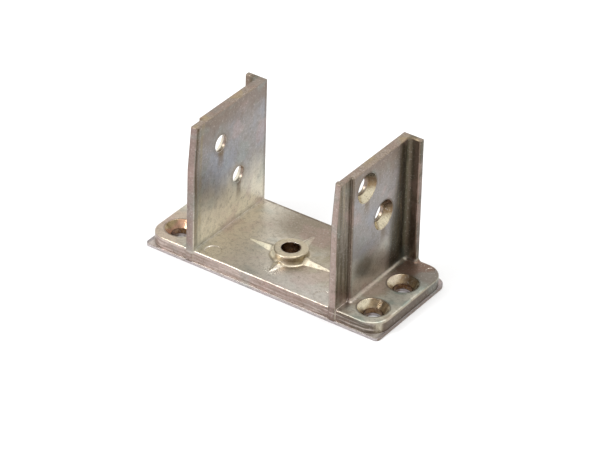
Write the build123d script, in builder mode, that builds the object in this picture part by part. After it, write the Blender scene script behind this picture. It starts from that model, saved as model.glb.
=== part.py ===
"""Die-cast U bracket: a flanged base carrying two uprights, a drilled boss and screw holes.

Frame: +X along the base from one upright to the other, +Y from the open rims of the uprights
to their rear flanges, +Z up.  The origin is the centre of the underside of the base.
The casting is one solid.  Millimetres and degrees.
"""

import os
from math import radians, tan

from build123d import *

# Base: a round-cornered plate on a thin, nearly square foot lip
plate_length = 85.0
plate_depth = 37.4
plate_thickness = 3.9
plate_corner_radius = 6.0
plate_edge_radius = 0.6
lip_thickness = 0.9
lip_reach = 0.4
lip_front_corner_radius = 1.4
lip_rear_corner_radius = 4.0

# Uprights
gap_width = 50.0
upright_height = 43.0
wall_thickness = 3.0
draft_angle = 0.5
foot_radius = 1.2
upright_edge_radius = 0.4
upright_top_radius = 0.3

# Rim: the thinner front strip of each upright, which leans back near its top
rim_thickness = 2.1
rim_width = 6.8
rim_lean_height = 14.4
rim_lean_depth = 1.4
bead_width = 2.0
bead_height = 0.35
bead_radius = 1.1

# Rear flange of each upright
flange_reach = 4.0
flange_thickness = 1.8
flange_inner_radius = 1.4

# Screw holes
screw_hole_radius = 2.8
screw_head_radius = 4.9
screw_head_angle = 90.0
base_screw_spacing_x = 71.2
base_screw_spacing_y = 16.0
upright_screw_line_y = -0.3
upright_screw_spacing_y = 9.4
left_upper_drop = 11.4
left_lower_height = 15.9
right_upper_drop = 6.8
right_lower_height = 22.1

# Boss and its ribs, on the centre line of the base screws
boss_line_y = -2.7
boss_radius = 5.6
boss_height = 2.8
boss_draft = 2.0
boss_edge_radius = 0.6
boss_foot_radius = 1.2
boss_hole_radius = 3.05
rib_reach_x = 15.1
rib_reach_rear = 12.6
rib_reach_front = 11.2
rib_width = 5.6
rib_height = 1.6
rib_front_height = 0.9
rib_ridge_width = 0.9
rib_tip_share = 0.15

# Ejector-pin marks on the base
front_mark_radius = 2.7
front_mark_x = 20.2
front_mark_y = -14.9
corner_mark_radius = 1.5
corner_mark_inset_x = 3.9
corner_mark_inset_y = 2.8
mark_depth = 0.15

# Derived places
base_top = lip_thickness + plate_thickness
top_z = base_top + upright_height
inner_x = gap_width / 2
rear_y = plate_depth / 2
rim_front_y = -rear_y - lip_reach
rim_rear_y = rim_front_y + rim_width
flange_front_y = rear_y - flange_thickness
lean_z = top_z - rim_lean_height


def outer_face_x(z):
    """Outer face of the drafted wall at this level."""
    return inner_x + wall_thickness + (top_z - z) * tan(radians(draft_angle))


# The plate's corners start outside the flange's rounded foot, clear of it by the edge rounding
flange_foot_x = outer_face_x(base_top) + flange_reach + foot_radius
plate_corner = min(plate_corner_radius, plate_length / 2 - flange_foot_x - plate_edge_radius)


# One upright, on the +X side: its outline at the foot, where it starts to lean, and at the top
with BuildPart() as upright:
    for level, lean in ((lip_thickness, 0), (lean_z, 0), (top_z, rim_lean_depth)):
        front_y = rim_front_y + lean
        bead_x = inner_x - bead_height
        wall_x = outer_face_x(level)
        rim_x = wall_x - wall_thickness + rim_thickness
        flange_x = wall_x + flange_reach
        with BuildSketch(Plane.XY.offset(level)) as outline:
            with BuildLine():
                Polyline(
                    (inner_x, rear_y),
                    (inner_x, front_y + bead_width),
                    (bead_x, front_y + bead_width),
                    (bead_x, front_y),
                    (rim_x, front_y),
                    (rim_x, rim_rear_y),
                    (wall_x, rim_rear_y),
                    (wall_x, flange_front_y),
                    (flange_x, flange_front_y),
                    (flange_x, rear_y),
                    close=True,
                )
            make_face()
            for corner, radius in (
                ((bead_x, front_y, level), bead_radius),
                ((wall_x, flange_front_y, level), flange_inner_radius),
                ((rim_x, front_y, level), upright_edge_radius),
            ):
                fillet(outline.vertices().sort_by_distance(corner)[0], radius=radius)
    loft(ruled=True)
    straight_corners = []
    for middle_z in ((lip_thickness + lean_z) / 2, (lean_z + top_z) / 2):
        for reach, corner_y in ((0, rim_rear_y), (flange_reach, flange_front_y)):
            corner = (outer_face_x(middle_z) + reach, corner_y, middle_z)
            straight_corners.append(upright.edges().sort_by_distance(corner)[0])
    fillet(straight_corners, radius=upright_edge_radius)
    fillet(upright.faces().sort_by(Axis.Z)[-1].edges(), radius=upright_top_radius)


# The whole casting
with BuildPart() as bracket:
    # Foot lip, then the plate on it with its rounded top edge
    with BuildSketch() as lip:
        Rectangle(plate_length + 2 * lip_reach, plate_depth + 2 * lip_reach)
        fillet(lip.vertices().group_by(Axis.Y)[0], radius=lip_front_corner_radius)
        fillet(lip.vertices().group_by(Axis.Y)[-1], radius=lip_rear_corner_radius)
    extrude(amount=lip_thickness)
    with BuildSketch(Plane.XY.offset(lip_thickness)):
        RectangleRounded(plate_length, plate_depth, plate_corner)
    extrude(amount=plate_thickness)
    fillet(bracket.edges().group_by(Axis.Z)[-1], radius=plate_edge_radius)

    # The upright with a rounded foot along its outer face and round its flange, then the other half
    add(upright.part)
    wall_foot = (
        bracket.edges().filter_by(Axis.Y).sort_by_distance((outer_face_x(base_top), 0, base_top))[0]
    )
    fillet(wall_foot, radius=foot_radius)
    split(bisect_by=Plane.YZ)
    mirror(about=Plane.YZ)

    # Boss with a drafted side, a rounded top edge and a filleted foot
    with BuildSketch(Plane.XY.offset(base_top)):
        with Locations((0, boss_line_y)):
            Circle(boss_radius)
    extrude(amount=boss_height, taper=boss_draft)
    boss_circles = bracket.edges().filter_by(GeomType.CIRCLE)
    boss_top = boss_circles.sort_by_distance((0, boss_line_y, base_top + boss_height))[0]
    fillet(boss_top, radius=boss_edge_radius)
    boss_foot = (
        bracket.edges()
        .filter_by(GeomType.CIRCLE)
        .filter_by(lambda edge: abs(edge.radius - boss_radius) < 0.01)
        .sort_by_distance((0, boss_line_y, base_top))[0]
    )
    fillet(boss_foot, radius=boss_foot_radius)

    # Four ribs that run out from the boss and sink to a point, the front one low
    for turn, reach, height in (
        (0, rib_reach_x, rib_height),
        (90, rib_reach_rear, rib_height),
        (180, rib_reach_x, rib_height),
        (270, rib_reach_front, rib_front_height),
    ):
        root = Plane((0, boss_line_y, base_top)).rotated((0, 0, turn))
        for distance, share in ((boss_hole_radius, 1), (reach, rib_tip_share)):
            across = Plane(
                origin=root.from_local_coords(Vector(distance, 0, 0)),
                x_dir=root.y_dir,
                z_dir=root.x_dir,
            )
            half_foot = share * rib_width / 2
            half_ridge = share * rib_ridge_width / 2
            with BuildSketch(across):
                with BuildLine():
                    Polyline(
                        (-half_foot, 0),
                        (half_foot, 0),
                        (half_ridge, share * height),
                        (-half_ridge, share * height),
                        close=True,
                    )
                make_face()
        loft(ruled=True)

    # Through hole of the boss
    with Locations((0, boss_line_y, base_top + boss_height)):
        Hole(boss_hole_radius, depth=boss_height + base_top)

    # Countersunk screw holes of the base
    with Locations((0, boss_line_y, base_top)):
        with GridLocations(base_screw_spacing_x, base_screw_spacing_y, 2, 2):
            CounterSinkHole(
                screw_hole_radius,
                screw_head_radius,
                depth=base_top,
                counter_sink_angle=screw_head_angle,
            )

    # Countersunk screw holes of the uprights, at staggered heights, sunk from outside
    for side, upper_drop, lower_height in (
        (-1, left_upper_drop, left_lower_height),
        (1, right_upper_drop, right_lower_height),
    ):
        for place_y, place_z in (
            (upright_screw_line_y - upright_screw_spacing_y / 2, top_z - upper_drop),
            (upright_screw_line_y + upright_screw_spacing_y / 2, base_top + lower_height),
        ):
            outer_face = Plane(
                origin=(side * outer_face_x(place_z), place_y, place_z),
                z_dir=(side, 0, 0),
            )
            with Locations(outer_face):
                CounterSinkHole(
                    screw_hole_radius,
                    screw_head_radius,
                    depth=2 * wall_thickness,
                    counter_sink_angle=screw_head_angle,
                )

    # Shallow round marks of the ejector pins
    with BuildSketch(Plane.XY.offset(base_top)):
        with Locations((front_mark_x, front_mark_y), (-front_mark_x, front_mark_y)):
            Circle(front_mark_radius)
        with Locations(
            (plate_length / 2 - corner_mark_inset_x, rear_y - corner_mark_inset_y),
            (corner_mark_inset_x - plate_length / 2, rear_y - corner_mark_inset_y),
        ):
            Circle(corner_mark_radius)
    extrude(amount=-mark_depth, mode=Mode.SUBTRACT)

bracket.part.label = "bracket"
os.makedirs("parts", exist_ok=True)
export_step(bracket.part, "parts/bracket.step")
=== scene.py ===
"""Looks of the die-cast U bracket: passivated zinc, a pale floor and soft studio light."""

from math import cos, radians, sin

import bpy
from mathutils import Matrix, Vector

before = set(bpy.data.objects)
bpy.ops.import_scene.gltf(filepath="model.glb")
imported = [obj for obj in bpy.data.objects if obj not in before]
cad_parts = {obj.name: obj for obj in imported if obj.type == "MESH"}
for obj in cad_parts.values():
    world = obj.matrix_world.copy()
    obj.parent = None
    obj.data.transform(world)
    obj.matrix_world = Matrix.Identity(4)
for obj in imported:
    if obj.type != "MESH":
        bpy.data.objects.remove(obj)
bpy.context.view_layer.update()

MM = 0.001


def tint(red, green, blue):
    """A colour given as 0-255 display values, as Blender's linear values."""
    steps = (channel / 255 for channel in (red, green, blue))
    linear = [s / 12.92 if s <= 0.04045 else ((s + 0.055) / 1.055) ** 2.4 for s in steps]
    return (*linear, 1.0)


class Value:
    """A number on a finish's node tree, for plain arithmetic."""

    def __init__(self, finish, socket):
        self.finish = finish
        self.socket = socket

    def math(self, operation, *operands):
        return self.finish.node("Math", {"operation": operation}, dict(enumerate(operands)))

    def __add__(self, other):
        return self.math("ADD", self, other)

    def __sub__(self, other):
        return self.math("SUBTRACT", self, other)

    def __rsub__(self, other):
        return self.math("SUBTRACT", other, self)

    def __mul__(self, other):
        return self.math("MULTIPLY", self, other)

    def __truediv__(self, other):
        return self.math("DIVIDE", self, other)

    __radd__ = __add__
    __rmul__ = __mul__

    def clipped(self):
        """Kept between 0 and 1."""
        return self.math("MINIMUM", self.math("MAXIMUM", self, 0.0), 1.0)

    def at_least(self, least):
        return self.math("MAXIMUM", self, least)

    def size(self):
        """The number without its sign."""
        return self.math("ABSOLUTE", self)

    def other(self):
        """The rest of a share: 1 where it is 0."""
        return 1.0 - self

    def root(self):
        return self.math("SQRT", self)

    def over(self, low, high):
        """0 below low, 1 above high and smooth between; the other way round where low > high."""
        return self.finish.node(
            "MapRange",
            {"interpolation_type": "SMOOTHSTEP"},
            {"Value": self, "From Min": low, "From Max": high},
        )

    def near(self, middle, reach, full):
        """1 up to full from a middle, and 0 from reach on, to either side."""
        return (self - middle).size().over(reach, full)


def apart(across, along):
    """How far a point is from an axis, from its two offsets."""
    return (across * across + along * along).root()


class Finish:
    """A node tree that is being written, for a material or for the world."""

    def __init__(self, tree):
        self.tree = tree
        tree.nodes.clear()

    def node(self, kind, settings=None, sockets=None, output=0):
        """Adds one node: its settings first, then its sockets' values or links."""
        made = self.tree.nodes.new("ShaderNode" + kind)
        for name, setting in (settings or {}).items():
            setattr(made, name, setting)
        for name, given in (sockets or {}).items():
            if isinstance(given, Value):
                self.tree.links.new(given.socket, made.inputs[name])
            else:
                made.inputs[name].default_value = given
        return Value(self, made.outputs[output]) if made.outputs else None

    def blend(self, share, first, second):
        """Mixes two colours: all of the second where the share is 1."""
        settings = {"data_type": "RGBA", "blend_type": "MIX", "clamp_factor": True}
        return self.node("Mix", settings, {0: share, 6: first, 7: second}, output=2)

    def noise(self, where, scale, detail, roughness, distortion=0.0):
        sockets = {
            "Vector": where,
            "Scale": scale,
            "Detail": detail,
            "Roughness": roughness,
            "Distortion": distortion,
        }
        return self.node("TexNoise", {"noise_dimensions": "3D"}, sockets)

    def parts(self, vector):
        """The x, y and z of a vector."""
        return [self.node("SeparateXYZ", sockets={0: vector}, output=axis) for axis in range(3)]

    def agreement(self, first, second):
        """The cosine between two directions."""
        sockets = {0: first, 1: second}
        return self.node("VectorMath", {"operation": "DOT_PRODUCT"}, sockets, output="Value")

    def stretched(self, where, x=1.0, y=1.0, z=1.0):
        """The same place with its axes scaled, for grain that runs one way."""
        return self.node("VectorMath", {"operation": "MULTIPLY"}, {0: where, 1: (x, y, z)})

    def seen_rays(self):
        """1 for the rays that meet the eye straight, off a shine or through glass, else 0."""
        straight, shone, passed = (
            self.node("LightPath", output=kind)
            for kind in ("Is Camera Ray", "Is Glossy Ray", "Is Transmission Ray")
        )
        return (straight + shone + passed).clipped()


class Coats:
    """A colour that is built up coat by coat."""

    def __init__(self, finish, colour):
        self.finish = finish
        self.colour = colour

    def lay(self, share, coat):
        """Lays a coat of another colour, which covers the share that is given."""
        self.colour = self.finish.blend(share, self.colour, coat)


# ---------------------------------------------------------------- passivated zinc
metal = bpy.data.materials.new("passivated_zinc")
metal.use_nodes = True
zinc = Finish(metal.node_tree)
place = zinc.node("TexCoord", output="Object")
normal = zinc.node("NewGeometry", output="True Normal")
x_mm, y_mm, z_mm = (part / MM for part in zinc.parts(place))
x_turn, y_turn, z_turn = zinc.parts(normal)
from_middle = x_mm.size()

# Places on the casting, in millimetres
rim_front = -19.1
lean_start = 33.4
lean_slope = 0.097
boss_y = -2.7
base_hole_x = 35.6
base_hole_step = 8.0
sink_edge = 5.0
sink_inner = 4.8
wall_holes = ((-1, -5.0, 36.4), (-1, 4.4, 20.7), (1, -5.0, 41.0), (1, 4.4, 26.9))

# Where things are, as 0 to 1
faces_side = x_turn.size().over(0.6, 0.85)
faces_up = z_turn.over(0.6, 0.85)
faces_front = y_turn.over(-0.6, -0.85)
walls = z_mm.over(5.0, 6.6) * from_middle.over(24.3, 24.6)
outside = from_middle.over(26.3, 26.9) * walls
inside = from_middle.over(25.9, 25.3)
below_walls = z_mm.over(6.0, 5.0)
bay = from_middle.over(25.0, 24.5) * z_mm.over(6.5, 5.0) * z_turn.over(-0.6, -0.3)
tabs = from_middle.over(28.5, 30.0) * below_walls
tab_tops = tabs * faces_up
left_tab_top = tab_tops * x_mm.over(-28.0, -30.0)
right_tab_top = tab_tops * x_mm.over(28.0, 30.0)
lip = z_mm.over(0.95, 0.85) * z_turn.over(-0.9, -0.5)
lean = (z_mm - lean_start).at_least(0.0) * lean_slope
behind_rim = y_mm - rim_front - lean

# Uneven films and grain of several sizes, then streaks that run up and down or along
clouds = zinc.noise(place, 45.0, detail=3.0, roughness=0.6)
films = zinc.noise(place, 105.0, detail=2.0, roughness=0.5, distortion=0.2)
patches = zinc.noise(place, 170.0, detail=5.0, roughness=0.62, distortion=0.5)
freckles = zinc.noise(place, 620.0, detail=4.0, roughness=0.65)
speckle = zinc.noise(place, 1700.0, detail=3.0, roughness=0.7)
grit = zinc.noise(place, 3100.0, detail=2.0, roughness=0.5)
grain = zinc.noise(place, 4800.0, detail=2.0, roughness=0.6)
streaks = zinc.noise(zinc.stretched(place, z=0.07), 900.0, detail=3.0, roughness=0.6)
runs = zinc.noise(zinc.stretched(place, z=0.22), 260.0, detail=3.0, roughness=0.6)
lines = zinc.noise(zinc.stretched(place, x=0.06, y=0.06), 1100.0, detail=4.0, roughness=0.65)

straw = tint(184, 174, 156)
khaki = tint(166, 157, 132)
silver = tint(202, 197, 190)
skin = Coats(zinc, zinc.blend(patches.over(0.38, 0.68) * 0.8, straw, khaki))
# Painted sheen: silver on the top faces towards the front
skin.lay(faces_up * y_mm.over(-4.0, -15.0) * clouds.over(0.3, 0.6) * 0.7, silver)

# Bay between the walls: paler to the left, browner at the rear
skin.lay(bay * (x_mm + patches * 8.0 - 4.0).over(8.0, -13.0) * 0.85, tint(226, 217, 200))
bay_rear = bay * (y_mm + patches * 6.0).over(2.0, 14.0)
skin.lay(bay_rear * x_mm.over(-22.0, -8.0) * 0.9, tint(138, 125, 107))

# Ends outside the walls: pale, with brown, green and rosy films
skin.lay(tab_tops * 0.85, tint(228, 222, 203))
skin.lay(tab_tops * clouds.over(0.45, 0.62) * 0.4, tint(152, 156, 152))
skin.lay(left_tab_top * (y_mm + patches * 5.0).over(4.0, -2.0) * 0.7, tint(186, 164, 144))
skin.lay(right_tab_top * (y_mm + clouds * 6.0).over(8.0, 13.0) * 0.8, tint(136, 118, 100))
skin.lay(right_tab_top * films.over(0.5, 0.6) * 0.55, tint(150, 126, 98))
skin.lay(right_tab_top * films.over(0.48, 0.38) * 0.5, tint(122, 144, 134))
rosy = tabs * z_turn.over(0.3, 0.7) * (y_mm + patches * 6.0).over(9.0, 14.0)
skin.lay(rosy * patches.over(0.2, 0.42) * 0.9, tint(118, 90, 74))

# Walls: grey-lilac with a blue cast, brown along the top, painted light at the inner foot and
# painted shade along the step behind the bead
grey = zinc.blend(clouds.over(0.38, 0.62), tint(146, 142, 141), tint(145, 149, 160))
skin.lay(walls * faces_side * 0.92, grey)
painted_foot_light = (z_mm + runs * 12.0).over(34.0, 14.0) * walls * inside
skin.lay(painted_foot_light * 0.95, tint(240, 232, 210))
brow = (z_mm + patches * 10.0 + streaks * 6.0).over(43.0, 54.0) * walls
skin.lay(brow * 0.8, tint(122, 104, 88))
bead_step_shade = behind_rim.near(2.3, 0.55, 0.1) * walls * inside
skin.lay(bead_step_shade * 0.7, tint(96, 84, 62))
bead_film = behind_rim.near(3.6, 1.3, 0.2) * walls * inside * runs.over(0.3, 0.6)
skin.lay(bead_film * 0.45, tint(158, 142, 96))

# Outside of the walls: painted shade towards the flange and low down, a pale painted reflection of
# the base as a fan, and a dark painted reflection as a blot at the foot
back_shade = (y_mm + runs * 5.0 + (22.0 - z_mm) * 0.14).over(9.0, 14.5) * outside
skin.lay(back_shade * 0.9, tint(68, 67, 54))
low_back_shade = back_shade * (z_mm + clouds * 10.0).over(24.0, 14.0)
skin.lay(low_back_shade * 0.6, tint(44, 48, 38))
base_reflection_fan = (z_mm - y_mm.size() * 0.15 + patches * 3.0).over(21.0, 15.0) * y_mm.over(10.0, 5.0) * outside
skin.lay(base_reflection_fan * faces_side * 0.75, tint(206, 200, 186))
dark_reflection_off = apart((y_mm + 4.6 + patches * 2.0) * 0.8, z_mm - 12.4 - clouds * 3.0)
dark_reflection_blot = dark_reflection_off.over(5.6, 1.8) * outside * x_mm.over(0.0, 1.0)
skin.lay(dark_reflection_blot * 0.72, tint(104, 96, 84))

# Rim, flange and the step between rim and wall: streaked up and down, with painted shade on the
# flange's front and in the step
rim_side = y_mm.over(-12.0, -12.6) * outside
skin.lay(rim_side * 0.8, tint(116, 105, 90))
flange_front = y_mm.over(13.5, 15.0) * faces_front * outside
skin.lay(flange_front * 0.9, tint(70, 62, 46))
striped = (rim_side + back_shade + flange_front).clipped()
skin.lay(streaks.over(0.48, 0.62) * striped * 0.7, tint(84, 74, 48))
skin.lay(streaks.over(0.46, 0.36) * striped * 0.5, tint(150, 138, 112))
step_shade_line = y_mm.near(-12.7, 0.75, 0.2) * outside * runs.over(0.15, 0.45)
skin.lay(step_shade_line * 0.65, tint(50, 43, 32))

# Front faces: pinkish, with painted shade towards the right end, on the flange and on the plate's
# right end face, and rough with lines along the plate
right_end_shade = x_mm.over(16.0, 30.0) * below_walls
skin.lay(faces_front * 0.85, zinc.blend(right_end_shade, tint(166, 147, 142), tint(70, 59, 55)))
rim_pink = zinc.blend(x_mm.over(-1.0, 1.0), tint(130, 112, 106), tint(160, 142, 134))
skin.lay(faces_front * walls * y_mm.over(-10.0, -12.0) * 0.65, rim_pink)
skin.lay(flange_front * 0.75, tint(114, 98, 82))
bead_round = behind_rim.over(0.2, 0.7) * behind_rim.over(2.3, 1.6) * walls * inside
skin.lay(bead_round * 0.65, tint(116, 100, 76))
rear_line = y_mm.near(18.1, 0.8, 0.2) * from_middle.over(25.5, 24.5) * z_mm.over(4.2, 4.5)
skin.lay(rear_line * patches.over(0.25, 0.5) * 0.8, tint(104, 86, 70))
rough_skin = faces_front * below_walls
skin.lay(rough_skin * lines.over(0.5, 0.62) * 0.5, tint(128, 106, 92))
skin.lay(rough_skin * lines.over(0.47, 0.36) * 0.55, tint(226, 212, 202))
pits = speckle.over(0.58, 0.66) * z_mm.over(2.8, 1.2) * faces_up.other() * lip.other()
skin.lay(pits * 0.8, tint(60, 46, 38))
# Painted shade on the plate's right end face, which faces away from the key light
plate_end = from_middle.over(41.6, 42.2) * z_mm.over(4.4, 3.9)
skin.lay(plate_end * 0.85, tint(78, 63, 54))

# Top faces of the walls: grainy, with soft ochre and brown films
crown = z_mm.over(47.3, 47.6)
crown_grain = zinc.blend(grain.over(0.35, 0.65), tint(126, 108, 94), tint(184, 170, 156))
crown_skin = Coats(zinc, crown_grain)
crown_skin.lay(films.over(0.5, 0.62) * 0.6, tint(166, 148, 96))
crown_skin.lay(films.over(0.46, 0.36) * 0.6, tint(146, 112, 98))
skin.lay(crown * 0.9, crown_skin.colour)

# Boss and ribs: cream, with a painted highlight where they slope to the left and the front, and
# painted shade in brown low on the boss's side towards the front and right
boss_off = apart(x_mm, y_mm - boss_y)
boss = boss_off.over(7.4, 6.2) * z_mm.over(4.7, 5.2) * walls.other()
skin.lay(boss * 0.7, tint(204, 190, 162))
above_base = z_mm.over(4.8, 4.9)
sloping = z_turn.over(0.97, 0.9) * from_middle.over(17.0, 16.0) * above_base * z_mm.over(8.0, 7.5)
lit = (x_turn + y_turn * 0.6).over(0.3, -0.3)
ribs = sloping * boss_off.over(6.4, 7.2) * y_mm.over(-11.5, -8.5)
skin.lay(ribs * (0.3 + lit * 0.65), tint(250, 242, 214))
# Painted shade low on the boss's side towards the front and right
boss_foot_shade = boss * faces_up.other() * (x_mm * 0.83 + (y_mm - boss_y) * 0.56).size().over(2.6, 0.8)
skin.lay(boss_foot_shade * z_mm.over(7.6, 7.0) * 0.7, tint(128, 108, 78))
to_the_left = (x_turn + 0.55 + patches * 0.2).size().over(0.35, 0.1)
shine = sloping * boss_off.over(7.2, 6.4) * lit * to_the_left
skin.lay(shine * 0.9, tint(250, 244, 222))

# Screw holes: golden sinks with painted shade (above on the walls, in the middle on the base) and a
# painted cream highlight (below on the walls, at the sides on the base), and brown bores
sink_off = apart(from_middle - base_hole_x, (y_mm - boss_y).size() - base_hole_step)
sink_x = x_mm - base_hole_x + x_mm.over(0.1, -0.1) * (2 * base_hole_x)
sinks = sink_off.over(sink_edge, sink_inner) * z_mm.over(2.2, 2.6)
rings = sink_off.near(sink_edge, 0.45, 0.1) * z_mm.over(3.5, 4.4)
left_sink_highlight = (sink_x + 3.4 + patches * 1.5).size().over(1.5, 0.3)
sink_highlight = sinks * (left_sink_highlight + sink_x.near(3.9, 1.1, 0.2))
sink_shade = sinks * sink_x.size().over(2.4, 0.6) * 0.7
bores = sink_off.over(2.95, 2.85) + boss_off.over(3.2, 3.1)

# Each wall hole also has a halo, a stain that runs down from it and a ring of painted shade above
for side, hole_y, hole_z in wall_holes:
    outward = x_mm * side
    rise = z_mm - hole_z
    own_wall = outward.over(24.0, 24.3)
    hole_off = apart(y_mm - hole_y, rise)
    own_sink = hole_off.over(sink_edge, sink_inner) * outward.over(26.0, 26.3)
    sinks = sinks + own_sink
    sink_highlight = sink_highlight + own_sink * (rise + patches * 2.4).over(0.2, -2.0)
    sink_shade = sink_shade + own_sink * (rise + patches * 2.4).over(0.2, 2.0)
    halo = (hole_off + patches * 3.0).over(6.6, 4.6) * own_wall
    drip = (y_mm - hole_y + runs * 2.0).near(1.0, 1.9, 0.5)
    drip = drip * rise.over(-1.5, -3.5) * rise.over(-11.0, -5.0) * own_wall
    skin.lay((halo * 0.4 + drip * 0.65).clipped(), tint(116, 98, 76))
    ring_shade_above = hole_off.near(sink_edge, 0.5, 0.1) * rise.over(-2.0, 1.0)
    rings = rings + ring_shade_above * own_wall * outside
sinks = sinks.clipped()
# Dark rings at the sinks' rims: all round on the base, and painted shade above the wall holes
skin.lay((rings * 0.65).clipped(), tint(72, 60, 44))

left_end = x_mm.over(-30.0, -32.0) * below_walls
gilt = Coats(zinc, zinc.blend(patches.over(0.36, 0.62), tint(164, 142, 108), tint(118, 94, 66)))
gilt.lay(sink_shade.clipped() * 0.9, tint(74, 56, 36))
gilt.lay(sink_highlight.clipped() * 0.8, tint(240, 230, 200))
copper = zinc.blend((sink_x + patches).over(-3.5, -2.5), tint(190, 172, 104), tint(224, 172, 138))
gilt.lay(left_end * 0.85, copper)
skin.lay(sinks * 0.92, gilt.colour)
bore_film = zinc.blend(freckles.over(0.4, 0.6), tint(96, 66, 42), tint(150, 118, 84))
skin.lay(bores.clipped(), bore_film)

# Lip at the foot, with painted shade on its ends and a painted shadow line in the crease above it
skin.lay(lip * 0.85, zinc.blend(faces_side, tint(212, 205, 208), tint(150, 134, 126)))
lip_crease_shade = z_mm.near(0.95, 0.3, 0.08) * faces_up.other()
skin.lay(lip_crease_shade * 0.75, tint(92, 78, 70))

# Edges: painted highlights in broken dashes, partly wear, with grime and painted crease shade
# beside them, and a painted light seam inside the walls
edge_reach = 0.45 * MM
grime_and_shade_reach = 1.1 * MM
soft_normal = zinc.node("Bevel", {"samples": 8}, {"Radius": edge_reach})
wide_normal = zinc.node("Bevel", {"samples": 6}, {"Radius": grime_and_shade_reach})
edge = (1.0 - zinc.agreement(soft_normal, normal)).over(0.04, 0.22)
inner_seam_light = from_middle.over(23.6, 24.2) * inside * z_mm.over(4.5, 4.75) * z_mm.over(6.4, 5.8)
inner_seam_light = inner_seam_light * y_mm.over(-18.4, -17.9)
skin.lay(inner_seam_light * 0.5, tint(226, 218, 198))
beside_edge = (1.0 - zinc.agreement(wide_normal, soft_normal)).over(0.005, 0.18)
grime_and_crease_shade = beside_edge * edge.other() * inner_seam_light.other()
skin.lay(grime_and_crease_shade * patches.over(0.25, 0.55) * 0.65, tint(96, 84, 68))
dents = edge * speckle.over(0.53, 0.46) * below_walls * z_mm.over(1.5, 2.5)
skin.lay(dents * 0.75, tint(104, 88, 74))
step_edge = y_mm.near(-12.4, 0.9, 0.5) * outside
dull = (back_shade + flange_front + step_edge).clipped()
wear_and_highlight = edge * speckle.over(0.38, 0.56) * dull.other() * z_mm.over(1.0, 1.8)
skin.lay(wear_and_highlight * 0.85, tint(240, 232, 222))
# Painted shade dulls the reflections in the flange's inner corner and on the step's edge
flange_corner = from_middle.near(28.9, 1.6, 0.8) * y_mm.over(14.6, 15.6) * outside
skin.lay(flange_corner * 0.6, tint(88, 82, 64))
skin.lay(step_edge * 0.6, tint(112, 100, 82))

# Iridescent films, mottle and grain over everything
skin.lay(films.over(0.54, 0.68) * 0.28, tint(190, 158, 152))
skin.lay(films.over(0.44, 0.3) * 0.28, tint(142, 158, 152))
skin.lay(freckles.over(0.46, 0.68) * 0.3, tint(116, 106, 92))
skin.lay(speckle.over(0.55, 0.7) * 0.42, tint(92, 84, 74))
skin.lay(speckle.over(0.43, 0.3) * 0.28, tint(236, 231, 226))
skin.lay(grain.over(0.45, 0.7) * 0.25, tint(104, 96, 84))

# Gate scar in front of the boss: rough grit, with its sparkle painted as bright specks
gate = apart(x_mm * 0.8, y_mm + 13.0).over(3.4, 1.2) * z_mm.over(4.6, 4.7) * z_turn.over(0.1, 0.4)
skin.lay(gate * grit.over(0.53, 0.6) * 0.9, tint(255, 250, 234))
skin.lay(gate * grit.over(0.48, 0.42) * 0.55, tint(104, 90, 70))

# A chalky film takes some of the metal's shine on the walls' insides, the ribs and the ends; metal
# is also taken off the painted light at the inner foot and seam and off the painted highlights on
# the boss and ribs, to brighten them
chalky = walls * inside * 0.2 + painted_foot_light * 0.25 + (ribs * lit + shine) * 0.5
chalky = chalky + left_end * sinks * 0.4 + right_tab_top * 0.35 + inner_seam_light * 0.4
rough = 0.23 + clouds * 0.08 + freckles * 0.14 + crown * 0.1 - sinks * 0.1 - wear_and_highlight * 0.06
rough = rough + (flange_corner + step_edge).clipped() * 0.2
relief = grain * 0.15 + speckle * 0.35 + freckles * 0.7 + patches * 1.1
relief = relief + (faces_front + plate_end).clipped() * lines * 1.2 + striped * streaks * 1.0
relief = relief + crown * grain * 0.8 + gate * grit * 1.2
relief_depth = 0.13 * MM
bumped = zinc.node(
    "Bump",
    sockets={"Strength": 0.6, "Distance": relief_depth, "Height": relief, "Normal": soft_normal},
)
shader = zinc.node(
    "BsdfPrincipled",
    sockets={
        "Base Color": skin.colour,
        "Metallic": 1.0 - chalky.clipped(),
        "Roughness": rough,
        "Normal": bumped,
    },
)
zinc.node("OutputMaterial", sockets={"Surface": shader})

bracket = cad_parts["bracket"]
bracket.data.materials.clear()
bracket.data.materials.append(metal)

# ---------------------------------------------------------------- floor and background
white = (1.0, 1.0, 1.0, 1.0)
floor_grey = (0.86, 0.86, 0.86, 1.0)
floor_glow = 0.1
floor_reach = 4.0
floor_gap = 0.02 * MM
air_for_light = 0.85
air_to_the_eye = 0.15

floor_paint = bpy.data.materials.new("pale_floor")
floor_paint.use_nodes = True
paint = Finish(floor_paint.node_tree)
matt = paint.node("BsdfDiffuse", sockets={"Color": floor_grey})
glow = paint.node(
    "Emission", sockets={"Color": white, "Strength": paint.seen_rays() * floor_glow}
)
both = paint.node("AddShader", sockets={0: matt, 1: glow})
paint.node("OutputMaterial", sockets={"Surface": both})

floor_corners = ((-1, -1), (1, -1), (1, 1), (-1, 1))
floor_mesh = bpy.data.meshes.new("floor")
floor_mesh.from_pydata(
    [(x * floor_reach, y * floor_reach, -floor_gap) for x, y in floor_corners],
    [],
    [(0, 1, 2, 3)],
)
floor_mesh.materials.append(floor_paint)
floor = bpy.data.objects.new("floor", floor_mesh)
bpy.context.scene.collection.objects.link(floor)

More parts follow.
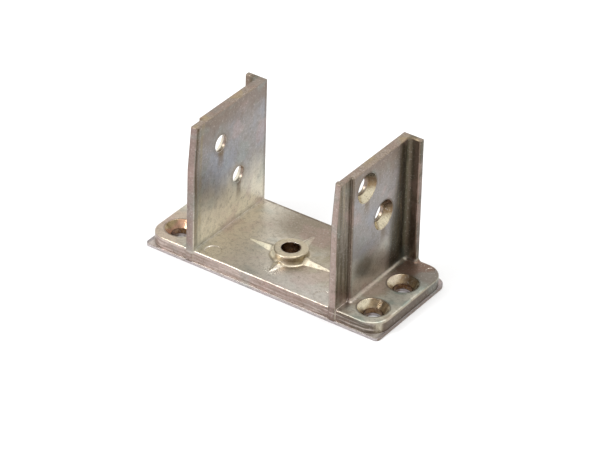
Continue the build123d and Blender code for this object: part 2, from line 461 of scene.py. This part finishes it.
world = bpy.data.worlds.new("studio")
world.use_nodes = True
bpy.context.scene.world = world
air = Finish(world.node_tree)
strength = air_for_light + air.seen_rays() * air_to_the_eye
background = air.node("Background", sockets={"Color": white, "Strength": strength})
air.node("OutputWorld", sockets={"Surface": background})


# ---------------------------------------------------------------- lamps
def softbox(name, place, aim, width, height, power):
    """A square-on area lamp that shines from place towards aim."""
    lamp = bpy.data.lights.new(name, "AREA")
    lamp.shape = "RECTANGLE"
    lamp.size = width
    lamp.size_y = height
    lamp.energy = power
    holder = bpy.data.objects.new(name, lamp)
    holder.location = place
    holder.rotation_mode = "QUATERNION"
    holder.rotation_quaternion = (Vector(aim) - Vector(place)).to_track_quat("-Z", "Y")
    bpy.context.scene.collection.objects.link(holder)


middle = (0.0, 0.0, 0.02)
softbox("key_softbox", (-0.55, -0.75, 0.85), middle, 0.45, 0.45, 7.0)
softbox("top_softbox", (0.1, 0.25, 1.1), middle, 0.7, 0.5, 4.0)

# ---------------------------------------------------------------- camera
azimuth = radians(34.003)
elevation = radians(33.279)
roll = radians(1.773)
distance = 1012.84 * MM
shown_pixels_per_mm = 3.3221
image_width = 600
sensor_width = 36.0
aim_point = Vector((0.0, 0.0, 22.0 * MM))
shift_right = -0.840 * MM
shift_up = 6.413 * MM

back = Vector((sin(azimuth) * cos(elevation), -cos(azimuth) * cos(elevation), sin(elevation)))
level_right = Vector((cos(azimuth), sin(azimuth), 0.0))
level_up = back.cross(level_right)
right = level_right * cos(roll) + level_up * sin(roll)
up = level_up * cos(roll) - level_right * sin(roll)

lens = bpy.data.cameras.new("camera")
lens.sensor_fit = "HORIZONTAL"
lens.sensor_width = sensor_width
lens.lens = shown_pixels_per_mm * distance / MM / image_width * sensor_width
lens.clip_start = 0.05
lens.clip_end = 20.0
camera = bpy.data.objects.new("camera", lens)
camera.rotation_mode = "QUATERNION"
camera.rotation_quaternion = Matrix((right, up, back)).transposed().to_quaternion()
camera.location = aim_point + back * distance - right * shift_right - up * shift_up
bpy.context.scene.collection.objects.link(camera)
bpy.context.scene.camera = camera

bpy.context.scene.view_settings.view_transform = "Standard"
